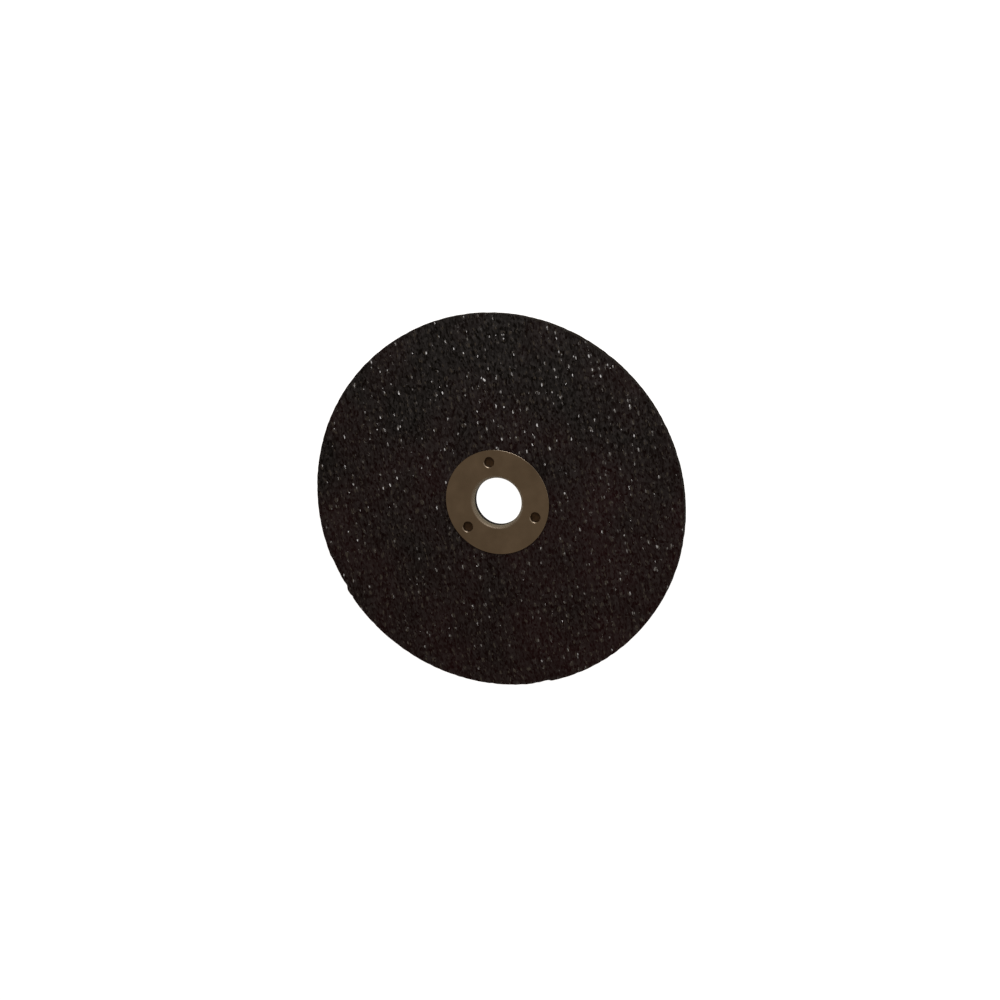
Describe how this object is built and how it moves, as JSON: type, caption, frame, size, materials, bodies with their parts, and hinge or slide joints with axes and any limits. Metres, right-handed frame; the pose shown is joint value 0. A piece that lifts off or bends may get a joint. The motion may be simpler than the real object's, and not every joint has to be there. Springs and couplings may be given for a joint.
{
  "type": "cut off wheel",
  "caption": "Thin round resin-bonded abrasive wheel with woven glass cloth faces and a flanged sheet-steel bush in its centre, for cutting metal on a small spindle.",
  "frame": {"origin": "on the wheel's axis at the disc's back face, whose cloth crowns lie on the surface", "axes": "+Z along the wheel's axis, out of the face that carries the bush's flange; +Y towards the first stake hole and along the cloth's warp"},
  "size_m": [0.0762, 0.0762, 0.0018],
  "materials": {
    "abrasive": "black resin-bonded abrasive grain over woven glass cloth, matt with small glints",
    "bush_steel": "drawn sheet steel, smooth and dull"
  },
  "bodies": {
    "root": {"abrasive_disc": "abrasive", "centre_bush": "bush_steel"}
  },
  "joints": []
}
